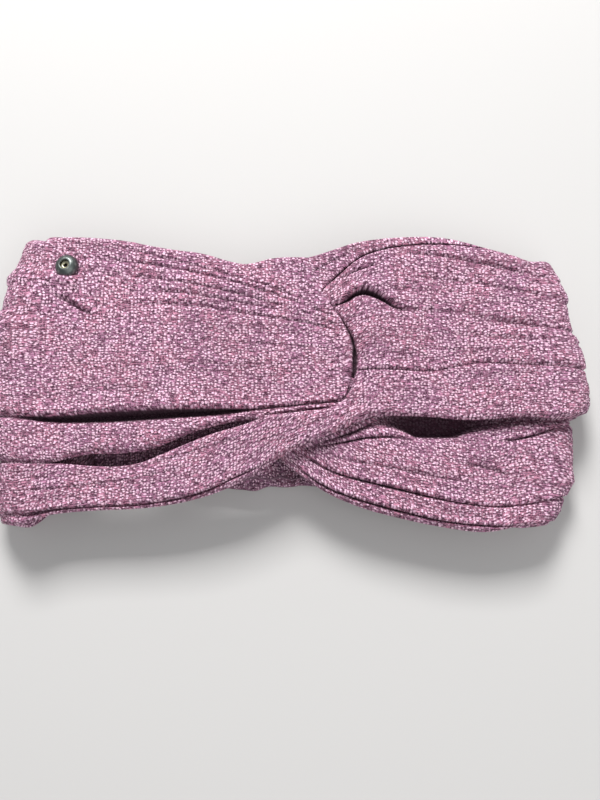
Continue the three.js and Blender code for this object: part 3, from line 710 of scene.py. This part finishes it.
def backCasing():
    # A flat tube round X. Gathers run across it: the surface rises and falls along X, with uneven spacing,
    # and the two long edges wave in and out. The underside is flat where it rests.
    low, high = casingBox
    x = np.linspace(low[0] + 0.2, high[0] - 0.2, casing["rows"])[:, None]
    angle = np.linspace(0, 2 * np.pi, casing["ring"], endpoint=False)[None]
    halfWide, halfHigh = (high[1] - low[1]) / 2, (high[2] - low[2]) / 2
    y = halfWide * np.sign(np.cos(angle)) * np.abs(np.cos(angle)) ** casing["sideRound"]
    z = halfHigh * np.sign(np.sin(angle)) * np.abs(np.sin(angle)) ** casing["squareness"]
    y, z = np.broadcast_to(y, (len(x), y.shape[1])), np.broadcast_to(z, (len(x), z.shape[1]))
    drift = latticeNoise(x / 14, y / 30, 11) * casing["drift"]
    gather = np.sin(2 * np.pi * (x / (high[0] - low[0]) * casing["gathers"] + drift))
    gather = gather * (0.7 + 0.3 * latticeNoise(x / 20, y / 14, 12))
    up = np.clip(z / halfHigh, -1, 1)
    lift = casing["depth"] * 0.5 * (gather - 1) * up
    lift = np.where(up < 0, lift * 0.8, lift)
    edgeShare = np.abs(y / halfWide) ** 6
    wave = casing["edgeWave"] * edgeShare * latticeNoise(x / 7, np.sign(y) * 3, 13)
    wave = wave - edgeShare * casing["edgeDraw"]
    points = np.stack([np.broadcast_to(x, y.shape), y + np.sign(y) * wave, z + lift], -1)
    points = points + [0, (high[1] + low[1]) / 2, (high[2] + low[2]) / 2]
    return points * mm


casingPoints = backCasing()
casingCloth = boucleCloth("casing_cloth", casingShadedLook)
rows, ring = casingPoints.shape[:2]
around = np.cumsum(np.linalg.norm(np.diff(casingPoints, axis=1, prepend=casingPoints[:, :1]), axis=2), axis=1)
casingUv = np.stack([casingPoints[..., 0] * casing["clothStretch"], around], -1).reshape(-1, 2)
casingFaces = tubeFaces(rows, ring, False)
casingPiece = meshPiece("back_casing_cloth", casingPoints.reshape(-1, 3), casingFaces, casingUv)
finishPiece(casingPiece, casingCloth, "band", "casing_cloth", "back_casing")
solid = casingPiece.modifiers.new("cloth", "SOLIDIFY")
solid.thickness = casing["thickness"]
solid.offset = -1
print("casing made", len(casingPiece.data.polygons))


def latheGrid(profile, place, axis, sides=96):
    # a profile of radius and height turned round the axis through place
    r, h = np.array(profile, float).T * mm
    angle = np.linspace(0, 2 * np.pi, sides, endpoint=False)
    turn = Vector((0, 0, 1)).rotation_difference(Vector(axis)).to_matrix()
    local = np.stack([r[:, None] * np.cos(angle), r[:, None] * np.sin(angle), h[:, None] + 0 * angle], -1)
    return local @ np.array(turn).T + np.array(place)


def roundProfile(corners, steps=8):
    # a closed outline through the corners, each rounded by a short curve of its own radius
    corners = np.array([c[:2] for c in corners]), [c[2] for c in corners]
    made = []
    for i, radius in enumerate(corners[1]):
        here = corners[0][i]
        before = corners[0][i - 1] - here
        after = corners[0][(i + 1) % len(corners[0])] - here
        reach = min(radius, 0.45 * np.linalg.norm(before), 0.45 * np.linalg.norm(after))
        a = here + before / np.linalg.norm(before) * reach
        b = here + after / np.linalg.norm(after) * reach
        s = np.linspace(0, 1, steps)[:, None]
        made.extend((1 - s) ** 2 * a + 2 * s * (1 - s) * here + s**2 * b)
    return made


# radius, height and corner radius; heights are above the cloth
button = {
    "cap": [(2.5, 1.9, 0.1), (4.5, 1.9, 0.35), (5, 2.3, 0.4), (5, 3.4, 0.9), (4.2, 5, 1.2), (2.9, 5.85, 0.6),
            (2.1, 5.9, 0.25), (1.9, 5.5, 0.2), (1.9, 5.1, 0.1), (3, 4.9, 0.3), (3.3, 4.3, 0.3),
            (3.3, 2.5, 0.1),
            (2.5, 2.5, 0.1)],
    "core": [(0.7, 3.9, 0.05), (2.35, 3.9, 0.1), (2.35, 4.3, 0.15), (2, 4.7, 0.2), (1.1, 4.7, 0.25),
             (0.7, 4.3, 0.15)],
    "neck": [(1.2, 0.3, 0.05), (3.4, 0.3, 0.15), (3.4, 0.9, 0.2), (2.2, 0.9, 0.3), (2.2, 3, 0.2),
             (2.9, 3, 0.15),
             (2.9, 3.6, 0.2), (1.2, 3.6, 0.1)],
    "tack": [(0.02, -6.1, 0.01), (4, -6.1, 0.3), (4, -5.3, 0.3), (0.9, -5.3, 0.2), (0.9, 1.9, 0.2),
             (0.02, 2.5, 0.01)],
}
metals = {
    "cap": (wornMetal("gunmetal", (0.125, 0.14, 0.135, 1), (0.36, 0.38, 0.35, 1), 0.28, 3000), "gunmetal"),
    "core": (wornMetal("brass", (0.42, 0.4, 0.28, 1), (0.82, 0.8, 0.66, 1), 0.25, 2500), "brass"),
    "neck": (wornMetal("steel", (0.3, 0.3, 0.31, 1), (0.5, 0.5, 0.5, 1), 0.25, 2800), "steel"),
}
metals["tack"] = metals["neck"]

for joint in frame["joints"]:
    sideName = joint["child"].split("_")[0]
    for part, corners in button.items():
        grid = latheGrid(roundProfile(corners), joint["pos_m"], joint["axis"])
        count, sides = grid.shape[:2]
        piece = meshPiece(f"{sideName}_{part}_turned", grid.reshape(-1, 3), tubeFaces(count, sides, True))
        material, slotName = metals[part]
        body = joint["child"] if part == "cap" else "band"
        finishPiece(piece, material, body, slotName, f"{sideName}_button_{part}")
print("buttons made")


# the threads and the elastic keep their CAD meshes
yarn = threadYarn("thread", (0.2, 0.1, 0.15, 1))
webbing = threadYarn("elastic", (0.03, 0.028, 0.032, 1))
for name, node in frame["nodes"].items():
    if name.endswith("_thread") or name == "back_elastic":
        node.data.materials.clear()
        node.data.materials.append(webbing if name == "back_elastic" else yarn)
print("threads and elastic given their yarns")


def plainMaterial(name, colour):
    r = Recipe(name)
    return r.finish(Base_Color=colour, Roughness=0.9)


stage = {"halfFloor": 3, "floorLevel": -0.0002, "floor": (0.5, 0.49, 0.48, 1), "sensor": 36,
         "sky": (0.9, 0.92, 0.95, 1), "skyStrength": 0.42}
floorMesh = bpy.data.meshes.new("floor")
half, low = stage["halfFloor"], stage["floorLevel"]
floorMesh.from_pydata([(-half, -half, low), (half, -half, low), (half, half, low), (-half, half, low)], [],
                      [(0, 1, 2, 3)])
floor = bpy.data.objects.new("floor", floorMesh)
bpy.context.scene.collection.objects.link(floor)
floorMesh.materials.append(plainMaterial("floor", stage["floor"]))


def lookFrom(obj, place, target):
    obj.location = place
    obj.rotation_euler = (Vector(target) - Vector(place)).to_track_quat("-Z", "Y").to_euler()


camera = bpy.data.objects.new("camera", bpy.data.cameras.new("camera"))
bpy.context.scene.collection.objects.link(camera)
target = Vector(view["target"]) * mm
lean = math.radians(view["elevation"])
back = Vector((0, -math.cos(lean), math.sin(lean)))
lookFrom(camera, target + back * view["distance"] * mm, target)
camera.data.sensor_width = stage["sensor"]
camera.data.lens = stage["sensor"] * view["distance"] / view["seenHeight"]
camera.data.clip_start = 0.01
bpy.context.scene.camera = camera

lamps = [
    {"name": "key", "place": (-0.12, 0.85, 0.8), "size": 0.4, "power": 21},
    {"name": "fill", "place": (0.4, -0.6, 1.0), "size": 1.2, "power": 6.5},
]
for lamp in lamps:
    light = bpy.data.lights.new(lamp["name"], "AREA")
    light.size = lamp["size"]
    light.energy = lamp["power"]
    holder = bpy.data.objects.new(lamp["name"], light)
    bpy.context.scene.collection.objects.link(holder)
    lookFrom(holder, lamp["place"], (0, 0, 0.01))
world = bpy.data.worlds.new("studio")
world.use_nodes = True
world.node_tree.nodes["Background"].inputs[0].default_value = stage["sky"]
world.node_tree.nodes["Background"].inputs[1].default_value = stage["skyStrength"]
bpy.context.scene.world = world
bpy.context.scene.view_settings.view_transform = "Standard"
print("stage, lights and camera set")
